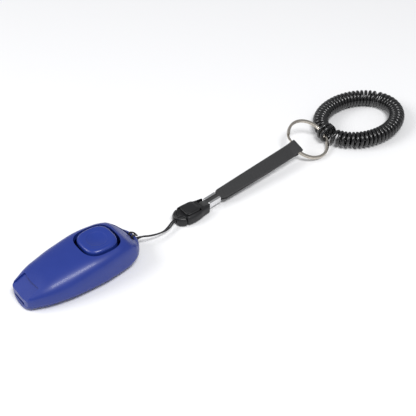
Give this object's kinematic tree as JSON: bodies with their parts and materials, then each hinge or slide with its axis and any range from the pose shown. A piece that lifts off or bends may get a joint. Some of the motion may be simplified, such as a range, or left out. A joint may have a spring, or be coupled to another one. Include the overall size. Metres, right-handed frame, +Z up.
{
  "type": "clicker trainer",
  "caption": "Pet-training clicker with a press button and a whistle mouthpiece, on a thin cord with a release clip, webbing strap, split ring and coiled wrist loop",
  "frame": {"origin": "on the flat underside of the case, under the middle of its length", "axes": "+X from the whistle's mouth towards the lanyard, +Z up out of the button, +Y to the left of a user who blows the whistle with the button up"},
  "size_m": [0.2916, 0.0532, 0.0202],
  "materials": {
    "blue_abs": "satin moulded, polished",
    "button_blue": "polished moulded",
    "black_acetal": "fine-grained moulded",
    "coil_black": "glossy extruded",
    "cord_black": "fine braid",
    "webbing_black": "close woven",
    "nickel_steel": "bright nickel plate",
    "crimp_steel": "bright plated",
    "spring_steel": "rolled spring temper",
    "whistle_white": "matt moulded"
  },
  "bodies": {
    "case": {"upper_shell": "blue_abs", "lower_shell": "blue_abs", "click_blade": "spring_steel", "blade_clamp": "black_acetal", "clamp_screw": "nickel_steel", "whistle_block": "whistle_white", "whistle_plug": "blue_abs", "case_screw_1": "nickel_steel", "case_screw_2": "nickel_steel", "case_screw_3": "nickel_steel", "cord_hitch": "cord_black"},
    "button": {"click_button": "button_blue"},
    "lanyard": {"cord_strand_near": "cord_black", "cord_strand_far": "cord_black", "cord_knot": "cord_black", "clip_plug": "black_acetal"},
    "buckle": {"clip_socket": "black_acetal"},
    "strap_loop": {"strap": "webbing_black", "strap_crimp": "crimp_steel"},
    "ring": {"split_ring": "nickel_steel"},
    "bracelet": {"wrist_coil": "coil_black"}
  },
  "joints": [
    {"name": "button_press", "type": "slide", "parent": "case", "child": "button", "axis": [0, 0, -1], "range_m": [0, 0.0016], "stiffness_N_per_m": 900, "deforming": ["click_blade"]},
    {"name": "lanyard_swing", "type": "hinge", "parent": "case", "child": "lanyard", "pos_m": [0.0386, 0, 0.0056], "axis": [0, -1, 0], "range_deg": [-60, 95], "deforming": ["cord_strand_near", "cord_strand_far"]},
    {"name": "clip_release", "type": "slide", "parent": "lanyard", "child": "buckle", "axis": [1, 0, 0], "range_m": [0, 0.015]},
    {"name": "strap_swing", "type": "hinge", "parent": "buckle", "child": "strap_loop", "pos_m": [0.0869, 0.0019, 0.0035], "axis": [0, -1, 0], "range_deg": [-45, 45]},
    {"name": "ring_swing", "type": "hinge", "parent": "strap_loop", "child": "ring", "pos_m": [0.16328, 0.00629, 0.00876], "axis": [0.1482, -0.872, -0.4665], "range_deg": [-60, 60]},
    {"name": "bracelet_swing", "type": "hinge", "parent": "ring", "child": "bracelet", "pos_m": [0.19007, 0.00827, 0.0056], "axis": [-0.1189, -0.8924, -0.4353], "range_deg": [-30, 30]}
  ]
}
